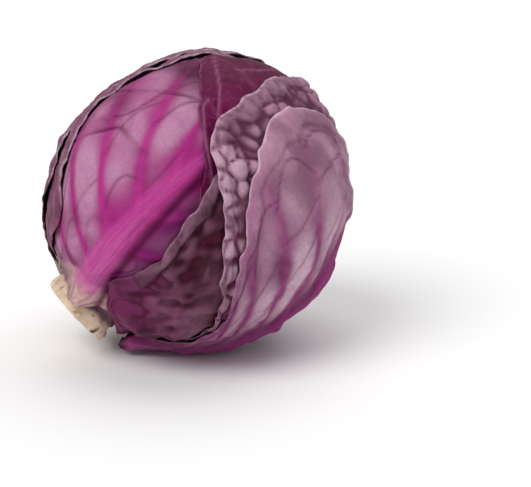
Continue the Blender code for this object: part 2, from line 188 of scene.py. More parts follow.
# Each leaf from the innermost out: its middle and its reaches as in the CAD source, the midrib's height, and
# how many fine cells a CAD cell has along and across.
LEAVES = (
    leaf("leaf_back_inner", (88.0, 172.0), (71, 62, 66, 68, 70, 70, 68, 66, 64),
         (71, 62, 66, 68, 70, 70, 68, 66, 64), 1.5, (3, 4), "purple",
         frill=0.4, pillow=0.4, pucker=0.2),
    leaf("leaf_front", (80.0, -30.0), (63, 58, 60, 62, 66, 69, 70, 69, 66),
         (63, 58, 60, 62, 66, 68, 67, 66, 66), 5.0, (7, 9), "magenta",
         frill=0.6, pillow=1.6, groove=1.3, arcs=(0.60, 0.80)),
    leaf("leaf_crown", (112.0, 25.0), (82, 66, 53, 47, 54, 69, 88, 88, 78),
         (82, 68, 58, 55, 58, 62, 68, 73, 78), 1.0, (6, 8), "dark",
         frill=0.3, pillow=0.5, pucker=0.5),
    leaf("leaf_top", (85.0, -148.0), (68, 60, 60, 63, 66, 68, 70, 73, 74),
         (68, 72, 81, 66, 58, 61, 69, 74, 74), 1.5, (8, 7), "dusty",
         frill=1.3, pillow=1.2, pucker=0.8, roll=1.0),
    leaf("leaf_under", (80.0, 125.0), (63, 58, 60, 63, 66, 68, 67, 64, 62),
         (63, 58, 60, 63, 66, 68, 67, 64, 62), 1.5, (4, 5), "purple",
         frill=0.6, pillow=0.5, pucker=0.3),
    leaf("leaf_bottom", (68.0, 60.0), (51, 54, 65, 65, 77, 93, 86, 76, 72),
         (51, 50, 58, 66, 70, 72, 73, 73, 72), 1.0, (8, 9), "brown",
         frill=1.8, pillow=0.5, pucker=0.3, crease=3.4, roll=2.0),
    leaf("leaf_right", (100.0, 65.0), (80, 59, 52, 60, 73, 95, 95, 92, 88),
         (80, 78, 76, 74, 72, 74, 78, 84, 88), 0.8, (8, 9), "puckered", straight=True,
         frill=0.8, pillow=0.5, pucker=2.8, roll=0.8),
    leaf("leaf_rear_outer", (85.0, -170.0), (68, 60, 60, 63, 66, 69, 72, 76, 78),
         (68, 72, 78, 70, 68, 76, 79, 80, 78), 1.8, (8, 7), "dusty",
         frill=1.6, pillow=1.2, pucker=0.8, roll=1.0),
    leaf("leaf_right_outer", (96.0, 62.0), (77, 55, 44, 49, 58, 73, 84, 77, 62),
         (77, 76, 78, 76, 72, 68, 64, 62, 62), 1.4, (8, 9), "pale", straight=True,
         frill=1.3, pillow=1.5, pucker=0.7, roll=1.0),
)

# Leaf colours. On the blade, "heart" is near the midrib, "outer" near the margin, "right" to the right of the
# midrib, where it paints the shade beside the raised midrib, "tip" at the crown end, "base" by the stalk and
# "foot" where the leaf was joined to it. "wax_and_highlight" is the pale wax with painted highlight on what
# stands proud, "hollow" the painted shade in what lies low, beside creases and along folds, and
# also the darker patches and specks, and "band" the folded strip along the margin. "rib", "midrib" and "net"
# are the veins, and "rim_highlight" the painted highlight along the margin's edge. "base_to" and "foot_to"
# are how much of the leaf's length has the base's and the foot's colour. "wax_and_highlight_amount",
# "band_and_fold_shade_weight" and "valley_shade", the painted shade between puckers, are strengths.
LOOKS = {
    "magenta": {"heart": "a22a78", "outer": "9c4478", "base": "aa3078", "foot": "ceb0a4", "tip": "4c1236",
                "right": "6c1658", "wax_and_highlight": "c090ae", "hollow": "4c0634", "band": "8c4870", "rib": "bc3a8e",
                "midrib": "d070b0", "net": "641848", "rim_highlight": "a06484", "base_to": 0.14, "foot_to": 0.125,
                "wax_and_highlight_amount": 0.9, "band_and_fold_shade_weight": 0.25, "valley_shade": 0.0},
    "dark": {"heart": "680a44", "outer": "640c40", "base": "5c0c3c", "foot": "8c5c70", "tip": "5c0838",
             "right": "680a44", "wax_and_highlight": "80305e", "hollow": "3c0622", "band": "5c1840", "rib": "a0507c",
             "midrib": "a0507c", "net": "a06088", "rim_highlight": "8c4c70", "base_to": 0.10, "foot_to": 0.05,
             "wax_and_highlight_amount": 0.45, "band_and_fold_shade_weight": 0.2, "valley_shade": 0.0},
    "dusty": {"heart": "682448", "outer": "804864", "base": "7c3c5c", "foot": "ceb4a6", "tip": "784460",
              "right": "682448", "wax_and_highlight": "b08a9c", "hollow": "3c1226", "band": "946a80", "rib": "984a78",
              "midrib": "b07898", "net": "803c62", "rim_highlight": "c8b0bc", "base_to": 0.20, "foot_to": 0.12,
              "wax_and_highlight_amount": 0.9, "band_and_fold_shade_weight": 0.7, "valley_shade": 0.0},
    "purple": {"heart": "541038", "outer": "54183c", "base": "6c2850", "foot": "c4a8a4", "tip": "54183c",
               "right": "541038", "wax_and_highlight": "804c6c", "hollow": "2c061a", "band": "62304c", "rib": "803060",
               "midrib": "985078", "net": "6c2850", "rim_highlight": "a07488", "base_to": 0.15, "foot_to": 0.12,
               "wax_and_highlight_amount": 0.7, "band_and_fold_shade_weight": 0.4, "valley_shade": 0.0},
    "brown": {"heart": "4c0c26", "outer": "4c1429", "base": "702454", "foot": "48182c", "tip": "480c22",
              "right": "5c143a", "wax_and_highlight": "8c6478", "hollow": "22060f", "band": "705062", "rib": "6c2848",
              "midrib": "803860", "net": "581c36", "rim_highlight": "b08c9c", "base_to": 0.36, "foot_to": 0.06,
              "wax_and_highlight_amount": 0.8, "band_and_fold_shade_weight": 0.9, "valley_shade": 0.0},
    "puckered": {"heart": "74345a", "outer": "9c6484", "base": "5c2444", "foot": "48182c", "tip": "a06c88",
                 "right": "74305a", "wax_and_highlight": "c8a4b6", "hollow": "481830", "band": "b088a0", "rib": "a04c7c",
                 "midrib": "a04c7c", "net": "6c2c50", "rim_highlight": "d0acbe", "base_to": 0.62, "foot_to": 0.05,
                 "wax_and_highlight_amount": 1.0, "band_and_fold_shade_weight": 0.5, "valley_shade": 0.8},
    "pale": {"heart": "823468", "outer": "a86c90", "base": "6c1c56", "foot": "48182c", "tip": "b4849e",
             "right": "74305c", "wax_and_highlight": "d6b4c6", "hollow": "5c1c44", "band": "b48ca0", "rib": "a44486",
             "midrib": "ac5090", "net": "702c58", "rim_highlight": "dcc0ce", "base_to": 0.70, "foot_to": 0.05,
             "wax_and_highlight_amount": 1.0, "band_and_fold_shade_weight": 0.4, "valley_shade": 0.0},
}
HEART_COLOURS = ("3c0c28", "5e2048")
CORK_COLOURS = {
    "light": "ecd4bc",
    "dark": "cab094",
    "speck": "7c5c3c",
    "petiole": "dcc6b2",
    "purple": "8c6474",
    "crack": "1e120e",
}


def linear(code):
    """A colour written as six hex digits, as the shader's linear values."""
    parts = [int(code[i : i + 2], 16) / 255 for i in (0, 2, 4)]
    return tuple(((p + 0.055) / 1.055) ** 2.4 if p > 0.04045 else p / 12.92 for p in parts) + (1.0,)


def unit(vectors):
    """The vectors, each one metre long."""
    return vectors / np.linalg.norm(vectors, axis=-1, keepdims=True)


def smooth_steps(values, at):
    """A smooth curve through values at the outline's stations, read at some angles in degrees."""
    values = np.asarray(values, float)
    slopes = np.gradient(values, OUTLINE_STATIONS)
    slopes[0] = slopes[-1] = 0.0
    step = OUTLINE_STATIONS[1]
    index = np.clip((at / step).astype(int), 0, len(values) - 2)
    x = at / step - index
    start = (1 + 2 * x) * (1 - x) ** 2 * values[index] + x * (1 - x) ** 2 * step * slopes[index]
    end = x * x * (3 - 2 * x) * values[index + 1] + x * x * (x - 1) * step * slopes[index + 1]
    return start + end


def bumps(directions, size, seed):
    """Smooth noise from about -1 to 1 over the head, with lumps of the given size."""
    scale = HALF_WIDTH / size
    offset = Vector((7.3 * seed, -3.1 * seed, 5.7 * seed))
    values = [noise.noise(Vector(d) * scale + offset) for d in directions.reshape(-1, 3)]
    return 1.6 * np.array(values).reshape(directions.shape[:-1])


def cushions(directions, size, seed):
    """Rounded cushions with narrow valleys between them, from 0 in a valley to 1 on top."""
    scale = HALF_WIDTH / size
    offset = Vector((3.7 * seed, 5.1 * seed, -2.3 * seed))
    values = []
    for d in directions.reshape(-1, 3):
        near = noise.voronoi(Vector(d) * scale + offset)[0]
        values.append(min(1.0, (near[1] - near[0]) * 1.6))
    return np.sin(np.array(values) * math.pi / 2).reshape(directions.shape[:-1])


def creases(plan, size, seed):
    """Narrow folds that run mostly along the leaf, 1 on a fold's crest. The plan's points are in metres."""
    folds = np.empty(len(plan))
    for i, (forward, side) in enumerate(plan / size):
        place = Vector((1.5 * side, 0.6 * forward, 3.1 * seed))
        folds[i] = abs(noise.noise(place) + 0.4 * noise.noise(2.2 * place))
    return np.clip(1.1 - 3.0 * folds, 0, 1)


def polar_direction(polar, azimuth):
    """The direction at an angle from the stump's end, turned round the axis from the front."""
    round_axis = math.cos(azimuth) * FRONT_WARD + math.sin(azimuth) * UNDER_WARD
    return -math.cos(polar) * CROWN_WARD + math.sin(polar) * round_axis


def leaf_lattice(fine_along=1, fine_across=1):
    """How far along the leaf each lattice point is, 0 to 1, and how far across it, -1 to 1."""
    along = np.linspace(0.0, 1.0, CELLS_ALONG * fine_along + 1)
    across = np.linspace(-1.0, 1.0, 2 * CELLS_ACROSS * fine_across + 1)
    across = np.sign(across) * np.abs(across) ** COLUMN_EASE
    return np.meshgrid(along, across, indexing="ij")


def leaf_plan(leaf, along, across, notch=0.0):
    """Degrees from the leaf's middle, to the tip and to the right. Notch adds to the margin's reach."""
    turn = BASE_HALF_ANGLE + (180.0 - BASE_HALF_ANGLE) * along
    reach = np.where(across < 0, smooth_steps(leaf["left"], turn), smooth_steps(leaf["right"], turn))
    reach = reach + notch
    base, tip = leaf["left"][0], leaf["left"][-1]
    root = -base + (base + MIDRIB_SHARE * tip) * along**ROOT_EASE
    end_forward = -reach * np.cos(np.radians(turn))
    end_side = reach * np.sin(np.radians(turn)) * np.sign(across)
    out = np.abs(across)
    length = np.hypot(end_forward - root, end_side)
    sweep = 4 * VEIN_SWEEP[leaf["straight"]] * length * out * (1 - out) * np.sin(np.pi * along)
    forward = root + (end_forward - root) * out - sweep
    return forward, end_side * out


def plan_directions(leaf, forward, side):
    """The directions from the head's centre of points on the leaf's plan."""
    polar, azimuth = np.radians(leaf["middle"])
    middle = polar_direction(polar, azimuth)
    to_tip = polar_direction(polar + math.pi / 2, azimuth)
    to_right = polar_direction(math.pi / 2, azimuth + math.pi / 2)
    far = np.radians(np.hypot(forward, side))
    pull = np.sin(far) / np.maximum(far, 1e-9)
    return (
        np.cos(far)[..., None] * middle
        + (pull * np.radians(forward))[..., None] * to_tip
        + (pull * np.radians(side))[..., None] * to_right
    )


def waved_leaf(leaf, seed):
    """The leaf with its margin wandering in and out as in the CAD source."""
    rng = np.random.default_rng(seed)
    waved = dict(leaf)
    for side in ("left", "right"):
        reaches = np.array(leaf[side], float)
        reaches[1:-1] += rng.uniform(-MARGIN_WAVE, MARGIN_WAVE, len(reaches) - 2)
        waved[side] = tuple(reaches)
    return waved


def blurred(field, steps):
    """The field with each value replaced by its neighbours' mean, a number of times."""
    rows, columns = field.shape
    for _ in range(steps):
        padded = np.pad(field, 1, mode="edge")
        field = np.mean([padded[i : i + rows, j : j + columns] for i in range(3) for j in range(3)], axis=0)
    return field


def grown(field, steps):
    """The field with each value replaced by its neighbours' largest, a number of times."""
    rows, columns = field.shape
    for _ in range(steps):
        padded = np.pad(field, 1, mode="edge")
        field = np.max([padded[i : i + rows, j : j + columns] for i in range(3) for j in range(3)], axis=0)
    return field


def points_of(item):
    flat = np.empty(len(item.data.vertices) * 3)
    item.data.vertices.foreach_get("co", flat)
    return flat.reshape(-1, 3)


def head_centre(stalk):
    """The head's centre: the CAD stalk's tip lies on the axis, a known way towards the crown."""
    points = points_of(stalk)
    tip = points[np.argmax(points @ CROWN_WARD)]
    return tip + STALK_TIP * CROWN_WARD


def cad_inner_radius(node, leaf, centre):
    """How far from the centre the CAD leaf's inner face is, at each point of its own lattice."""
    points = points_of(node) - centre
    radii = np.linalg.norm(points, axis=1)
    tree = KDTree(len(points))
    for i, point in enumerate(points):
        tree.insert(Vector(point / radii[i]), i)
    tree.balance()
    along, across = leaf_lattice()
    directions = plan_directions(leaf, *leaf_plan(leaf, along, across))
    inner = np.empty(along.shape)
    for place in np.ndindex(*along.shape):
        direction = Vector(directions[place])
        found = tree.find_range(direction, SAME_DIRECTION) or [tree.find(direction)]
        inner[place] = min(radii[hit[1]] for hit in found)
    return inner


def spline_weights(count, fine):
    """For each fine station, the four coarse stations round it and their Catmull-Rom weights."""
    at = np.arange((count - 1) * fine + 1) / fine
    low = np.minimum(at.astype(int), count - 2)
    t = at - low
    weights = 0.5 * np.array(
        [-t + 2 * t**2 - t**3, 2 - 5 * t**2 + 3 * t**3, t + 4 * t**2 - 3 * t**3, t**3 - t**2]
    )
    stations = np.clip(low + np.arange(-1, 3)[:, None], 0, count - 1)
    return stations, weights


def splined(field, fine_along, fine_across):
    stations, weights = spline_weights(field.shape[0], fine_along)
    field = np.einsum("kr,krc->rc", weights, field[stations])
    stations, weights = spline_weights(field.shape[1], fine_across)
    return np.einsum("kc,rkc->rc", weights, field[:, stations])


def top_radius(trees, directions):
    """How far out any of the trees reaches in each direction."""
    flat = directions.reshape(-1, 3)
    radii = np.zeros(len(flat))
    for tree in trees:
        hits = (tree.ray_cast(Vector(d) * FAR, -Vector(d)) for d in flat)
        radii = np.maximum(radii, [FAR - hit[3] if hit[0] is not None else 0.0 for hit in hits])
    return radii.reshape(directions.shape[:-1])


def nearest_on(points, line):
    """Each point's distance from a line of several stretches, and how far along the line that is, 0 to 1."""
    step = np.diff(line, axis=0)
    offset = points[:, None, :] - line[:-1]
    part = np.clip((offset * step).sum(axis=2) / np.maximum((step**2).sum(axis=1), 1e-12), 0, 1)
    distance = np.linalg.norm(offset - part[..., None] * step, axis=2)
    best = distance.argmin(axis=1)
    each = np.arange(len(points))
    return distance[each, best], (best + part[each, best]) / len(step)


def plan_line(leaf, along, across):
    """A line on the leaf's plan, in metres."""
    forward, side = leaf_plan(leaf, np.asarray(along, float), np.asarray(across, float))
    return np.stack((forward, side), axis=-1) * PLAN_SCALE


def rib_along(row, out):
    """Where on the lattice a side rib runs: from low on the midrib to its own row at the margin."""
    return np.maximum(row / CELLS_ALONG - RIB_LAG * (1 - out) ** 2, 0.01)


def side_ribs(leaf, plan):
    """The side ribs' height and mask at the plan's points."""
    height = np.zeros(len(plan))
    mask = np.zeros(len(plan))
    out = np.linspace(0.0, 0.97, 14)
    for row in range(1, CELLS_ALONG, RIB_ROWS):
        fade = min(1.0, 5 * (1 - row / CELLS_ALONG))
        for sign in (-1, 1):
            line = plan_line(leaf, rib_along(row, out), sign * np.maximum(out, 1e-4))
            distance, way = nearest_on(plan, line)
            high = SIDE_RIB_HEIGHT[0] * (1 - way) + SIDE_RIB_HEIGHT[1] * way
            wide = SIDE_RIB_HALF_WIDTH[0] * (1 - way) + SIDE_RIB_HALF_WIDTH[1] * way
            shape = fade * np.exp(-((distance / wide) ** 2))
            height = np.maximum(height, high * shape)
            mask = np.maximum(mask, shape * (1 - 0.65 * way))
    return height, mask


def links(leaf, plan, rng):
    """The thin veins that join one side rib to the next, as a mask."""
    mask = np.zeros(len(plan))
    for row in range(1, CELLS_ALONG - RIB_ROWS, RIB_ROWS):
        for sign in (-1, 1):
            for i in range(LINKS_A_GAP):
                start = (i + rng.uniform(0.3, 0.9)) / (LINKS_A_GAP + 0.4)
                end = min(0.97, start + rng.uniform(-0.10, 0.14))
                way = np.linspace(0, 1, 7)
                bow = rng.uniform(-0.08, 0.12) * np.sin(np.pi * way)
                out = np.clip(start + (end - start) * way + bow, 0.03, 0.98)
                line = plan_line(leaf, rib_along(row + RIB_ROWS * way, out), sign * out)
                distance, _ = nearest_on(plan, line)
                strength = rng.uniform(0.4, 1.0)
                mask = np.maximum(mask, strength * np.exp(-((distance / LINK_HALF_WIDTH) ** 2)))
    return mask


def arc_lines(leaf, plan):
    """Long thin folds that cross the side ribs at shares of the leaf's length from its base, as a mask."""
    base, tip = leaf["left"][0], leaf["left"][-1]
    mask = np.zeros(len(plan))
    turn = np.radians(np.linspace(*ARC_TURNS, 40))
    for share in leaf["arcs"]:
        far = share * (base + tip) * (1 - 0.07 * np.abs(np.sin(5 * turn + 9 * share)) - 0.05 * turn**2)
        line = np.stack((far * np.cos(turn) - base, far * np.sin(turn)), axis=-1) * PLAN_SCALE
        distance, way = nearest_on(plan, line)
        strength = (0.65 + 0.35 * np.sin(14 * way + 9 * share)) * np.clip(8 - 8 * way, 0, 1)
        mask = np.maximum(mask, strength * np.exp(-((distance / ARC_HALF_WIDTH) ** 2)))
    return mask


def midrib_half_width(leaf, forward):
    """The midrib's half width, and how far along the midrib each point is, 0 to 1."""
    base, tip = leaf["left"][0], leaf["left"][-1]
    way = np.clip((forward + base) / (base + MIDRIB_SHARE * tip), 0, 1)
    return MIDRIB_HALF_WIDTH[0] * (1 - way) + MIDRIB_HALF_WIDTH[1], way


def midrib_shape(leaf, forward, side, along):
    """The midrib's height, and its mask."""
    half_width, way = midrib_half_width(leaf, forward)
    height = leaf["midrib"] * MM * (1 - way) + MIDRIB_END_HEIGHT
    share = np.abs(side) * PLAN_SCALE / half_width
    fade = np.clip((1 - along) * 5, 0, 1)
    return height * fade * np.exp(-(share**2)), fade * np.exp(-(share**4))


def groove_shape(leaf, forward, side):
    """The deep valley to the right of the midrib, 1 at its floor."""
    half_width, way = midrib_half_width(leaf, forward)
    away = side * PLAN_SCALE - 1.1 * half_width - GROOVE_HALF_WIDTH
    return np.exp(-((away / GROOVE_HALF_WIDTH) ** 2)) * np.clip(4 * (1 - way), 0, 1) * (leaf["groove"] > 0)


def pillows(along, out):
    """The blade's swell between the side ribs, 0 at a rib and 1 between two."""
    gap = ((along + RIB_LAG * (1 - out) ** 2) * CELLS_ALONG - 1) / RIB_ROWS
    between = np.abs(np.sin(np.pi * gap)) ** 0.8
    return between * np.minimum(1, 3 * out) * (1 - out**3)


def pressed(places, directions, centre, flat):
    """Keeps places above the floor, and lays the flat spot's outer face on it."""
    height = centre[2]
    down = np.maximum(-directions[..., 2], 1e-6)
    angle = np.arccos(np.clip(-directions[..., 2], -1, 1))
    if flat:
        ease = np.clip((FLAT_ANGLE - angle) / (3 * DEGREE) + 0.5, 0, 1)
        places = places * (1 - ease) + height / down * ease
    return np.minimum(places, height / down)


def sheet_faces(rows, columns):
    """Indices of the sheet's points, its quads, and the loop round its border. The tip's row is one seam."""
    index = np.arange(rows * columns).reshape(rows, columns)
    half = columns // 2
    index[-1, half + 1 :] = index[-1, :half][::-1]
    quads = np.stack((index[:-1, :-1], index[:-1, 1:], index[1:, 1:], index[1:, :-1]), axis=-1).reshape(-1, 4)
    loop = np.concatenate((index[0], index[1:, -1], index[1:-1, 0][::-1]))
    return quads, loop


def added(name, data):
    """A new object in the scene."""
    item = bpy.data.objects.new(name, data)
    bpy.context.scene.collection.objects.link(item)
    return item


def closed_item(name, points, faces, fields, join=False):
    """A smooth closed object, with each field's rows as an attribute on its points."""
    mesh = bpy.data.meshes.new(name)
    mesh.from_pydata(points, [], faces)
    for field, values in fields.items():
        kind, key = ("FLOAT_VECTOR", "vector") if values.shape[1] == 3 else ("FLOAT", "value")
        attribute = mesh.attributes.new(field, kind, "POINT")
        attribute.data.foreach_set(key, values.astype(np.float32).ravel())
    shape = bmesh.new()
    shape.from_mesh(mesh)
    if join:
        bmesh.ops.remove_doubles(shape, verts=shape.verts, dist=JOIN_DISTANCE)
    bmesh.ops.recalc_face_normals(shape, faces=shape.faces)
    shape.to_mesh(mesh)
    shape.free()
    mesh.shade_smooth()
    return added(name, mesh)


def closed_sheet(name, outer, inner, fields):
    """A closed object between two faces of a leaf, with its fields on both."""
    rows, columns = outer.shape[:2]
    quads, loop = sheet_faces(rows, columns)
    count = rows * columns
    after = np.roll(loop, -1)
    walls = np.stack((loop, loop + count, after + count, after), axis=-1)
    faces = np.concatenate((quads, quads[:, ::-1] + count, walls))
    used, flat = np.unique(faces, return_inverse=True)
    points = np.concatenate((outer.reshape(-1, 3), inner.reshape(-1, 3)))[used]
    on_both = {field: np.tile(values.reshape(count, -1), (2, 1))[used] for field, values in fields.items()}
    return closed_item(name, points.tolist(), flat.reshape(-1, 4).tolist(), on_both)


def tree_of_sheet(places):
    rows, columns = places.shape[:2]
    quads, _ = sheet_faces(rows, columns)
    return BVHTree.FromPolygons(places.reshape(-1, 3).tolist(), quads.tolist())


def tree_of_node(node, centre):
    faces = [polygon.vertices[:] for polygon in node.data.polygons]
    return BVHTree.FromPolygons((points_of(node) - centre).tolist(), faces)


def margin_fields(edge, rise, directions, seed):
    """The painted highlight along the edge, the folded strip along it and the painted shade line on the
    strip's inner side, from each point's distance to the margin.
    """
    width = BAND_WIDTH * (1 + 0.35 * bumps(directions, 14 * MM, seed + 50))
    past_base = np.clip(5 * rise - 0.3, 0, 1)
    return {
        "band": np.clip((width - edge) / (2 * MM), 0, 1) * past_base,
        "fold_shade": np.exp(-(((edge - width) / FOLD_SHADE_HALF_WIDTH) ** 2)) * past_base,
        "roll": np.sin(np.pi * np.clip(edge / width, 0, 1)) * past_base,
        "rim_highlight": np.exp(-((edge / RIM_HIGHLIGHT_WIDTH) ** 2)),
    }


def leaf_fields(leaf, directions, forward, side, along, across, seed):
    """What the leaf's shape and its material both need, at each point of its fine lattice."""
    out = np.abs(across)
    shape = along.shape
    plan = np.stack((forward, side), axis=-1).reshape(-1, 2) * PLAN_SCALE
    base, tip = leaf["left"][0], leaf["left"][-1]
    rise = np.clip((forward + base) / (base + tip), 0, 1)
    # How far right of the midrib a point is; it also masks the painted shade there.
    right = np.clip(side * PLAN_SCALE / (10 * MM) - 0.4, 0, 1)
    from_midrib = np.hypot(forward - forward[:, [shape[1] // 2]], side)
    edge = (1 - out) * from_midrib / np.maximum(out, 0.3) * PLAN_SCALE
    margin = margin_fields(edge, rise, directions, seed)

    rib_height, rib_mask = side_ribs(leaf, plan)
    midrib_height, midrib_mask = midrib_shape(leaf, forward, side, along)
    pillow = pillows(along, out) * (0.8 + 0.4 * bumps(directions, 22 * MM, seed + 10))
    pucker = cushions(directions, PUCKER_SIZE, seed + 20)
    pucker = pucker * np.clip(0.8 + bumps(directions, 30 * MM, seed), 0.4, 1)
    crease = blurred(creases(plan, CREASE_SIZE, seed + 60).reshape(shape), 1)
    crease = crease * np.clip(margin["band"] + 1.2 - 1.3 * rise, 0.3, 1) * np.clip(6 * rise - 0.5, 0, 1)
    return {
        "midrib_height": midrib_height,
        "rib_height": rib_height.reshape(shape),
        "midrib": midrib_mask,
        "rib": rib_mask.reshape(shape),
        "net": links(leaf, plan, np.random.default_rng(seed + 200)).reshape(shape),
        "pillow": np.clip(pillow, 0, 1.2) * min(1, leaf["pillow"]),
        "pucker": pucker * leaf["pucker"] / MOST_PUCKER * np.minimum(1, 3 * out),
        "crease": crease * (1 - 0.9 * right) * (leaf["crease"] > 0),
        "arc": arc_lines(leaf, plan).reshape(shape),
        "groove": groove_shape(leaf, forward, side),
        "out": out,
        "rise": rise,
        "root": np.hypot(forward + base, side) / (base + tip),
        "right": right,
        "plan": np.dstack((side * PLAN_SCALE, forward * PLAN_SCALE, np.full(shape, 0.1 * seed))),
        **margin,
    }


def blade_relief(leaf, fields, directions, out, seed):
    """How far the blade stands off its bed, in metres. It is pressed flat near the underside."""
    frill = np.maximum(0.45 + bumps(directions, FRILL_SIZE, seed + 40), 0) * np.clip(out * 5 - 4, 0, 1) ** 1.5
    heights = max(1, leaf["pillow"]) * fields["pillow"] + leaf["crease"] * fields["crease"]
    heights = heights + leaf["frill"] * frill
    heights = heights + MOST_PUCKER * fields["pucker"]
    heights = heights + leaf["roll"] * fields["roll"]
    heights = heights - leaf["groove"] * fields["groove"] - 0.8 * fields["arc"]
    free = np.clip((directions[..., 2] - RELIEF_FROM) / RELIEF_EASE, 0, 1)
    return heights * MM * free


def leaf_bed(leaf, node, centre, trees, directions, out):
    """How far out the inner face lies: as its CAD solid's does, and closer to what is below at the margin."""
    inner = splined(cad_inner_radius(node, leaf, centre), *leaf["fine"])
    below = grown(top_radius(trees, directions), 1)
    hug = np.clip((out - HUG_FROM) / (1 - HUG_FROM), 0, 1)
    close = np.minimum(inner, blurred(below, 3) + HUG_ROOM)
    inner = inner * (1 - hug) + close * hug
    return np.maximum(inner, blurred(below, 1) + CLEARANCE)


def make_leaf(leaf, seed, node, centre, trees):
    """One fine leaf over its CAD node, and the tree of its outer face for the leaves above it."""
    leaf = waved_leaf(leaf, seed)
    along, across = leaf_lattice(*leaf["fine"])
    out = np.abs(across)
    smooth_edge = plan_directions(leaf, *leaf_plan(leaf, along, across))
    notch = MARGIN_NOTCH_REACH * bumps(smooth_edge, MARGIN_NOTCH_SIZE, seed + 30)
    forward, side = leaf_plan(leaf, along, across, notch * out**6 * np.sin(np.pi * along) ** 0.3)
    directions = plan_directions(leaf, forward, side)
    fields = leaf_fields(leaf, directions, forward, side, along, across, seed)
    raised = blade_relief(leaf, fields, directions, out, seed)
    sunk = np.maximum(-raised, 0)
    inner = leaf_bed(leaf, node, centre, trees, directions, out) + np.maximum(raised, 0)
    inner[-1] = np.maximum(inner[-1], inner[-1][::-1])
    thickness = BLADE_THICKNESS + (MARGIN_THICKNESS - BLADE_THICKNESS) * out**4
    thickness = thickness + fields.pop("midrib_height") + fields.pop("rib_height") * (1 - out**6)
    flat = leaf["name"] == LEAVES[-1]["name"]
    outer = pressed(inner + thickness - np.minimum(sunk, 0.4 * thickness), directions, centre, flat)
    inner = np.minimum(inner, outer - 0.3 * MM)
    outer_places = directions * outer[..., None]
    inner_places = directions * inner[..., None]
    item = closed_sheet(leaf["name"] + "_fine", outer_places + centre, inner_places + centre, fields)
    item.data.materials.append(leaf_material(leaf["name"], LOOKS[leaf["looks"]]))
    return item, tree_of_sheet(outer_places)


class Nodes:
    """Short calls for building a material's node tree."""

    def __init__(self, name):
        self.material = bpy.data.materials.new(name)
        self.material.use_nodes = True
        self.tree = self.material.node_tree
        self.shader = self.tree.nodes["Principled BSDF"]

    def add(self, kind, **settings):
        node = self.tree.nodes.new(kind)
        for key, value in settings.items():
            setattr(node, key, value)
        return node

    def put(self, socket, value):
        if isinstance(value, bpy.types.NodeSocket):
            self.tree.links.new(value, socket)
        else:
            socket.default_value = value

    def attribute(self, name, output="Fac"):
        return self.add("ShaderNodeAttribute", attribute_name=name).outputs[output]

    def math(self, operation, first, second=0.0, clamp=False):
        node = self.add("ShaderNodeMath", operation=operation, use_clamp=clamp)
        self.put(node.inputs[0], first)
        self.put(node.inputs[1], second)
        return node.outputs[0]

    def times(self, value, *others):
        for other in others:
            value = self.math("MULTIPLY", value, other)
        return value

    def shifted(self, value, noise, amount):
        """The value, moved up and down by a noise."""
        return self.math("ADD", value, self.math("MULTIPLY", self.math("SUBTRACT", noise, 0.5), amount))

    def mapped(self, value, low, high, to_low=0.0, to_high=1.0):
        node = self.add("ShaderNodeMapRange", interpolation_type="SMOOTHSTEP")
        for socket, given in zip(node.inputs, (value, low, high, to_low, to_high)):
            self.put(socket, given)
        return node.outputs[0]

    def mix(self, factor, first, second):
        node = self.add("ShaderNodeMix", data_type="RGBA")
        self.put(node.inputs["Factor"], factor)
        self.put(node.inputs[6], first)
        self.put(node.inputs[7], second)
        return node.outputs[2]

    def tint(self, colour, factor, code):
        """The colour, mixed towards one written as six hex digits."""
        return self.mix(factor, colour, linear(code))

    def noise(self, vector, scale, detail=4.0, roughness=0.55, distortion=0.0):
        node = self.add("ShaderNodeTexNoise")
        self.put(node.inputs["Vector"], vector)
        node.inputs["Scale"].default_value = scale
        node.inputs["Detail"].default_value = detail
        node.inputs["Roughness"].default_value = roughness
        node.inputs["Distortion"].default_value = distortion
        return node.outputs["Fac"]

    def stretched(self, vector, scale):
        node = self.add("ShaderNodeMapping")
        self.put(node.inputs["Vector"], vector)
        node.inputs["Scale"].default_value = scale
        return node.outputs["Vector"]

    def wobbled(self, vector, scale, amount):
        """The vector, pushed about by a colour noise."""
        push = self.add("ShaderNodeTexNoise")
        push.inputs["Scale"].default_value = scale
        self.put(push.inputs["Vector"], vector)
        scaled = self.add("ShaderNodeVectorMath", operation="SCALE")
        self.put(scaled.inputs[0], push.outputs["Color"])
        scaled.inputs["Scale"].default_value = amount
        moved = self.add("ShaderNodeVectorMath", operation="ADD")
        self.put(moved.inputs[0], vector)
        self.put(moved.inputs[1], scaled.outputs[0])
        return moved.outputs[0]

    def cell_edges(self, vector, scale):
        node = self.add("ShaderNodeTexVoronoi", feature="DISTANCE_TO_EDGE")
        self.put(node.inputs["Vector"], vector)
        node.inputs["Scale"].default_value = scale
        return node.outputs["Distance"]

    def bump(self, height, strength, distance, normal=None):
        node = self.add("ShaderNodeBump")
        node.inputs["Strength"].default_value = strength
        node.inputs["Distance"].default_value = distance
        self.put(node.inputs["Height"], height)
        if normal is not None:
            self.put(node.inputs["Normal"], normal)
        return node.outputs["Normal"]


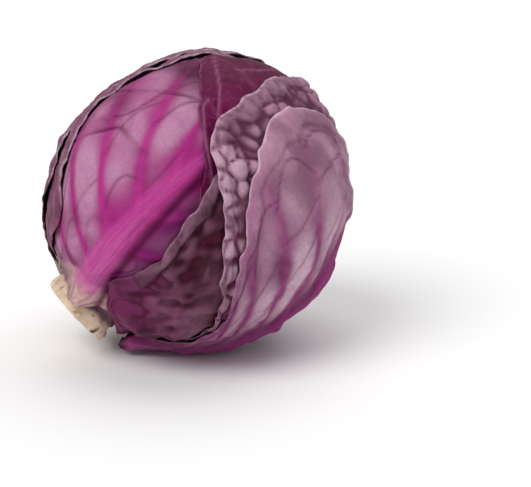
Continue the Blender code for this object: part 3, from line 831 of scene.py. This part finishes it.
def blade_colour(nodes, looks, patches, mottle):
    """The blade's colour, from its base to its tip and from its midrib to its folded margin, with painted
    shade right of the midrib, between puckers and beside creases.
    """
    rise = nodes.attribute("rise")
    base_to = looks["base_to"]
    out = nodes.mapped(nodes.attribute("out"), 0.25, 0.95)
    colour = nodes.mix(out, linear(looks["heart"]), linear(looks["outer"]))
    # Painted shade: right of the midrib the blade takes the "right" colour, the shade beside the raised
    # midrib.
    colour = nodes.tint(colour, nodes.attribute("right"), looks["right"])
    colour = nodes.tint(colour, nodes.mapped(rise, 0.68, 0.84), looks["tip"])
    uneven = nodes.shifted(rise, patches, 0.25)
    colour = nodes.tint(colour, nodes.mapped(uneven, base_to, 0.45 * base_to), looks["base"])
    colour = foot_colour(nodes, looks, patches, colour)
    colour = nodes.tint(colour, nodes.times(nodes.mapped(patches, 0.55, 0.34), 0.5), looks["hollow"])
    # Painted shade in the valleys between puckers.
    valley_shade = nodes.mapped(nodes.attribute("pucker"), 0.55, 0.05, 0.0, looks["valley_shade"])
    colour = nodes.tint(colour, valley_shade, looks["hollow"])
    # Painted shade on the flanks beside each crease's crest.
    crease = nodes.attribute("crease")
    shade_by_crease = nodes.mapped(crease, 0.0, 0.12, 0.0, 0.65)
    crease_flank_shade = nodes.math("SUBTRACT", shade_by_crease, nodes.mapped(crease, 0.15, 0.45, 0.0, 0.65))
    colour = nodes.tint(colour, crease_flank_shade, looks["hollow"])
    uneven_band = nodes.mapped(mottle, 0.34, 0.60, 0.35, 1.0)
    band = nodes.times(nodes.attribute("band"), looks["band_and_fold_shade_weight"], uneven_band)
    return nodes.tint(colour, band, looks["band"])


def foot_colour(nodes, looks, patches, colour):
    """Lays the pale foot round the leaf's root over the blade's colour, with painted shade in a seam round
    it.
    """
    foot_to = looks["foot_to"]
    uneven = nodes.shifted(nodes.attribute("root"), patches, 0.08)
    foot = nodes.mapped(uneven, 1.1 * foot_to, 0.9 * foot_to)
    seam_shade = nodes.math("SUBTRACT", nodes.mapped(uneven, 1.5 * foot_to, 1.15 * foot_to), foot)
    colour = nodes.tint(colour, nodes.times(seam_shade, 0.8), looks["hollow"])
    return nodes.tint(colour, foot, looks["foot"])


def wax_and_highlight_mask(nodes, looks, patches, mottle):
    """How much pale wax with painted highlight lies on the blade: on what stands proud, in soft patches, and
    little near the stalk.
    """
    rise = nodes.attribute("rise")
    base_to = looks["base_to"]
    high = nodes.math("MAXIMUM", nodes.attribute("pillow"), nodes.attribute("pucker"))
    high = nodes.math("MAXIMUM", high, nodes.attribute("crease"))
    wax_and_highlight_amount = nodes.times(
        nodes.mapped(high, 0.05, 0.75),
        nodes.mapped(patches, 0.30, 0.60, 0.45, 1.0),
        nodes.mapped(mottle, 0.30, 0.60, 0.75, 1.0),
        nodes.mapped(rise, 0.15 * base_to, 0.8 * base_to, 0.15, 1.0),
        # Less of it in the painted shade right of the midrib.
        nodes.mapped(nodes.attribute("right"), 0.0, 1.0, 1.0, 0.45),
        nodes.mapped(rise, 0.72, 0.84, 1.0, 0.35),
    )
    return nodes.math("MULTIPLY", wax_and_highlight_amount, looks["wax_and_highlight_amount"], clamp=True)


def finest_veins(nodes, plan, mottle):
    """The faint net of the finest veins."""
    edges = nodes.cell_edges(nodes.wobbled(plan, WOBBLE_SCALE, WOBBLE), NET_SCALE)
    return nodes.times(nodes.mapped(edges, 0.14, 0.0), nodes.mapped(mottle, 0.4, 0.62, 0.0, 0.16))


def rib_colour(nodes, looks, plan, patches, colour):
    """Lays the side ribs and the streaked midrib over the blade's colour."""
    rise = nodes.attribute("rise")
    rib = nodes.times(
        nodes.attribute("rib"),
        nodes.mapped(patches, 0.3, 0.6, 0.3, 0.75),
        nodes.mapped(rise, 0.03, 0.12),
        nodes.mapped(rise, 0.15, 0.55, 0.5, 1.0),
        # Fainter in the painted shade right of the midrib.
        nodes.mapped(nodes.attribute("right"), 0.0, 1.0, 1.0, 0.5),
    )
    colour = nodes.tint(colour, rib, looks["rib"])
    streaks = nodes.noise(nodes.stretched(plan, STREAKS), 1.0, 3.0)
    pale = nodes.times(nodes.mapped(streaks, 0.15, 0.85), nodes.mapped(rise, 0.15, 0.5, 1.0, 0.2))
    along_rib = nodes.mix(pale, linear(looks["rib"]), linear(looks["midrib"]))
    foot_to = looks["foot_to"]
    not_foot = nodes.mapped(nodes.attribute("root"), 0.4 * foot_to, foot_to, 0.1, 0.85)
    return nodes.mix(nodes.times(nodes.attribute("midrib"), not_foot), colour, along_rib)


def margin_colour(nodes, looks, mottle, colour):
    """Lays painted shade along the groove, the arcs and the fold, and a painted highlight along the margin's
    edge, over the blade's colour.
    """
    # Painted shade in the groove beside the midrib, along the arcs and on the fold's inner side.
    low = nodes.math("MAXIMUM", nodes.attribute("groove"), nodes.attribute("arc"))
    low = nodes.math("MAXIMUM", low, nodes.times(nodes.attribute("fold_shade"), looks["band_and_fold_shade_weight"]))
    colour = nodes.tint(colour, nodes.times(low, 0.85), looks["hollow"])
    base_to = looks["base_to"]
    # Painted highlight along the margin's edge.
    rim_highlight = nodes.times(
        nodes.attribute("rim_highlight"),
        nodes.mapped(nodes.attribute("rise"), 0.4 * base_to, base_to, 0.15, 0.85),
        nodes.mapped(mottle, 0.35, 0.6, 0.35, 1.0),
    )
    return nodes.tint(colour, rim_highlight, looks["rim_highlight"])


def leaf_material(name, looks):
    """Purple blade with pale wax and painted highlight on what stands proud, painted shade in what lies low,
    ribs, a net of veins and a painted highlight along the margin's edge.
    """
    nodes = Nodes(name + "_blade")
    plan = nodes.attribute("plan", "Vector")
    net = nodes.attribute("net")
    patches = nodes.noise(plan, PATCH_SCALE, 3.0, 0.5, 0.6)
    mottle = nodes.noise(plan, MOTTLE_SCALE, 6.0, 0.6)
    speckle = nodes.noise(plan, SPECKLE_SCALE, 3.0, 0.7)
    fine_net = finest_veins(nodes, plan, mottle)
    wax_and_highlight_amount = wax_and_highlight_mask(nodes, looks, patches, mottle)
    # Pale wax with painted highlight over the blade's colour.
    colour = nodes.tint(blade_colour(nodes, looks, patches, mottle), wax_and_highlight_amount, looks["wax_and_highlight"])
    colour = nodes.tint(colour, fine_net, looks["net"])
    colour = nodes.tint(colour, nodes.times(net, 0.7), looks["net"])
    colour = rib_colour(nodes, looks, plan, patches, colour)
    colour = margin_colour(nodes, looks, mottle, colour)
    colour = nodes.tint(colour, nodes.mapped(speckle, 0.3, 0.7, 0.0, 0.14), looks["hollow"])
    nodes.put(nodes.shader.inputs["Base Color"], colour)
    nodes.put(nodes.shader.inputs["Roughness"], nodes.mapped(wax_and_highlight_amount, 0.0, 0.8, 0.38, 0.60))
    nodes.shader.inputs["IOR"].default_value = LEAF_IOR
    nodes.shader.inputs["Specular IOR Level"].default_value = LEAF_SPECULAR
    normal = nodes.bump(speckle, 0.10, 0.3 * MM)
    normal = nodes.bump(mottle, 0.30, 0.9 * MM, normal)
    normal = nodes.bump(fine_net, 0.5, 0.3 * MM, normal)
    normal = nodes.bump(nodes.math("SUBTRACT", 1.0, net), 0.7, 0.7 * MM, normal)
    nodes.put(nodes.shader.inputs["Normal"], normal)
    return nodes.material


def heart_material():
    """The tight inner leaves, seen only where a wrapper leaf's base leaves a gap."""
    nodes = Nodes("heart_blade")
    place = nodes.add("ShaderNodeTexCoord").outputs["Object"]
    patches = nodes.noise(place, 60.0)
    colour = nodes.mix(patches, linear(HEART_COLOURS[0]), linear(HEART_COLOURS[1]))
    nodes.put(nodes.shader.inputs["Base Color"], colour)
    nodes.shader.inputs["Roughness"].default_value = 0.5
    nodes.put(nodes.shader.inputs["Normal"], nodes.bump(patches, 0.5, 1.0 * MM))
    return nodes.material


def cork_material():
    """The stump's dry tan cork, with pale broken leaf bases, purple remains, dark cracks and painted shade in
    the notch.
    """
    nodes = Nodes("stalk_cork")
    place = nodes.add("ShaderNodeTexCoord").outputs["Object"]
    patches = nodes.noise(place, 90.0, 6.0, 0.65)
    grain = nodes.noise(place, 700.0, 5.0, 0.7)
    specks = nodes.noise(place, 260.0, 3.0, 0.6)
    light = linear(CORK_COLOURS["light"])
    colour = nodes.tint(light, nodes.mapped(patches, 0.38, 0.66), CORK_COLOURS["dark"])
    colour = nodes.tint(colour, nodes.mapped(specks, 0.58, 0.66, 0.0, 0.65), CORK_COLOURS["speck"])
    for field in ("purple", "petiole", "crack"):
        colour = nodes.tint(colour, nodes.attribute(field), CORK_COLOURS[field])
    colour = nodes.tint(colour, nodes.mapped(grain, 0.45, 0.75, 0.0, 0.35), CORK_COLOURS["dark"])
    nodes.put(nodes.shader.inputs["Base Color"], colour)
    nodes.shader.inputs["Roughness"].default_value = 0.85
    normal = nodes.bump(grain, 0.30, 0.35 * MM)
    nodes.put(nodes.shader.inputs["Normal"], nodes.bump(patches, 0.35, 0.8 * MM, normal))
    return nodes.material


def wrapped_gap(angle, middle):
    """How far an azimuth is from a middle one, both in radians."""
    return np.abs((angle - middle + np.pi) % (2 * np.pi) - np.pi)


def stump_relief(azimuth, place, directions):
    """Winding scars and grain, as a push outwards in metres."""
    spiral = np.sin(SCAR_COUNT * azimuth - place / SCAR_RISE)
    scars = SCAR_DEPTH * (0.25 * spiral + 0.4 * bumps(directions, 9.0 * MM, 91))
    return scars + 0.12 * MM * bumps(directions, 2.2 * MM, 92)


def make_stalk(centre):
    """The stalk with its corky stump, finer than its CAD node and in the same place."""
    profile = np.array(STALK_PROFILE) * MM
    at = np.linspace(0, len(profile) - 1, (len(profile) - 1) * STALK_STEPS + 1)
    stations = np.arange(len(profile))
    place = np.interp(at, stations, profile[:, 0])[:, None]
    radius = np.interp(at, stations, profile[:, 1])[:, None]
    azimuth = np.linspace(-np.pi, np.pi, STALK_SEGMENTS, endpoint=False)[None, :]
    round_axis = np.cos(azimuth)[..., None] * FRONT_WARD + np.sin(azimuth)[..., None] * UNDER_WARD
    rough = -place[..., None] * CROWN_WARD + radius[..., None] * round_axis
    directions = unit(rough)

    on_stump = np.clip((place - STUMP_START) / (3 * MM), 0, 1)
    crack = np.clip(bumps(directions, 3.5 * MM, 93) * 3 - 2.3, 0, 1) * on_stump
    notch = wrapped_gap(azimuth, STUMP_NOTCH_AZIMUTH) / STUMP_NOTCH_HALF_ANGLE
    notch = np.clip(1.5 - notch, 0, 1) ** 0.5 * np.exp(-(((place - STUMP_NOTCH_PLACE) / (2.0 * MM)) ** 2))
    push = on_stump * stump_relief(azimuth, place, directions)
    push = push - CRACK_DEPTH * crack - STUMP_NOTCH_DEPTH * notch
    push = push * np.clip(radius / (8 * MM), 0, 1)
    dip = 0.2 * MM * bumps(directions, 3.5 * MM, 94) * (place > CUT_FACE_START)
    places = rough + round_axis * push[..., None] - dip[..., None] * CROWN_WARD + centre

    neck = np.clip((NECK_END + 1.2 * MM * bumps(directions, 6 * MM, 95) - place) / (1.5 * MM), 0, 1)
    petiole = np.clip(2.5 - wrapped_gap(azimuth, PETIOLE_AZIMUTH) / PETIOLE_HALF_ANGLE, 0, 1)
    fields = {
        "petiole": petiole * neck * (place < PETIOLE_END),
        "purple": neck,
        # The crack colour also paints the notch nearly black, as painted shade.
        "crack": np.maximum(crack, np.clip(1.6 * notch, 0, 1)),
    }
    return turned_item("stalk_fine", places, fields)


def turned_item(name, places, fields):
    """A closed object round an axis: rows of rings, with a point at each end."""
    rows, columns = places.shape[:2]
    index = np.arange(rows * columns).reshape(rows, columns)
    after = np.roll(index, -1, axis=1)
    faces = np.stack((index[:-1], after[:-1], after[1:], index[1:]), axis=-1).reshape(-1, 4).tolist()
    points = places.reshape(-1, 3).tolist()
    points.append(places[0].mean(axis=0).tolist())
    faces += [[int(index[0, j]), len(points) - 1, int(after[0, j])] for j in range(columns)]
    on_points = {}
    for field, values in fields.items():
        every = np.broadcast_to(values, (rows, columns)).ravel()
        on_points[field] = np.append(every, 0.0)[:, None]
    return closed_item(name, points, faces, on_points, join=True)


def make_floor():
    mesh = bpy.data.meshes.new("floor")
    mesh.from_pydata([(-6, -6, 0), (6, -6, 0), (6, 6, 0), (-6, 6, 0)], [], [(0, 1, 2, 3)])
    floor = added("floor", mesh)
    nodes = Nodes("floor_white")
    nodes.shader.inputs["Base Color"].default_value = (0.93, 0.93, 0.93, 1.0)
    nodes.shader.inputs["Roughness"].default_value = 0.6
    nodes.shader.inputs["Specular IOR Level"].default_value = 0.2
    mesh.materials.append(nodes.material)


def view_from(azimuth, elevation):
    """The direction from the head towards a viewer, whose angles are in degrees. Azimuth 0 is the front."""
    level = math.cos(elevation * DEGREE)
    turn = azimuth * DEGREE
    return Vector((math.sin(turn) * level, -math.cos(turn) * level, math.sin(elevation * DEGREE)))


def make_camera(centre):
    """The head's centre falls on its pixel of the photograph, at the photograph's scale."""
    back = view_from(CAMERA_AZIMUTH, CAMERA_ELEVATION)
    right = view_from(CAMERA_AZIMUTH + 90.0, 0.0)
    up = back.cross(right)
    offset_x = (PICTURE_SIZE[0] / 2 - CENTRE_PIXEL[0]) * METRES_A_PIXEL
    offset_y = (PICTURE_SIZE[1] / 2 - CENTRE_PIXEL[1]) * METRES_A_PIXEL
    camera = bpy.data.cameras.new("camera")
    camera.sensor_width = SENSOR_WIDTH
    camera.lens = SENSOR_WIDTH * CAMERA_DISTANCE / (PICTURE_SIZE[0] * METRES_A_PIXEL)
    item = added("camera", camera)
    position = Vector(centre) + back * CAMERA_DISTANCE
    target = Vector(centre) + right * offset_x - up * offset_y
    item.location = position
    item.rotation_euler = (target - position).to_track_quat("-Z", "Y").to_euler()
    bpy.context.scene.camera = item


def soft_sun(name, azimuth, elevation, angle, strength):
    """Even light from one side, placed as the camera's angles are. Angle is its breadth, in degrees."""
    light = bpy.data.lights.new(name, "SUN")
    light.angle = angle * DEGREE
    light.energy = strength
    away = -view_from(azimuth, elevation)
    added(name, light).rotation_euler = away.to_track_quat("-Z", "Y").to_euler()


def light_scene():
    world = bpy.data.worlds.new("studio")
    world.use_nodes = True
    world.node_tree.nodes["Background"].inputs["Color"].default_value = (1.0, 1.0, 1.0, 1.0)
    world.node_tree.nodes["Background"].inputs["Strength"].default_value = SKY_STRENGTH
    scene = bpy.context.scene
    scene.world = world
    scene.view_settings.view_transform = "Standard"
    for name, numbers in SUNS.items():
        soft_sun(name, *numbers)


def main():
    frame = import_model()
    nodes = frame["nodes"]
    centre = head_centre(nodes["stalk"])

    trees = [tree_of_node(nodes["heart"], centre)]
    for seed, one in enumerate(LEAVES):
        item, tree = make_leaf(one, seed, nodes[one["name"]], centre, trees)
        trees.append(tree)
        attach(item, "root")
        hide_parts(one["name"])

    stalk = make_stalk(centre)
    stalk.data.materials.append(cork_material())
    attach(stalk, "root")
    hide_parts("stalk")

    heart = nodes["heart"]
    heart.data.materials.clear()
    heart.data.materials.append(heart_material())

    make_floor()
    light_scene()
    make_camera(centre)


main()
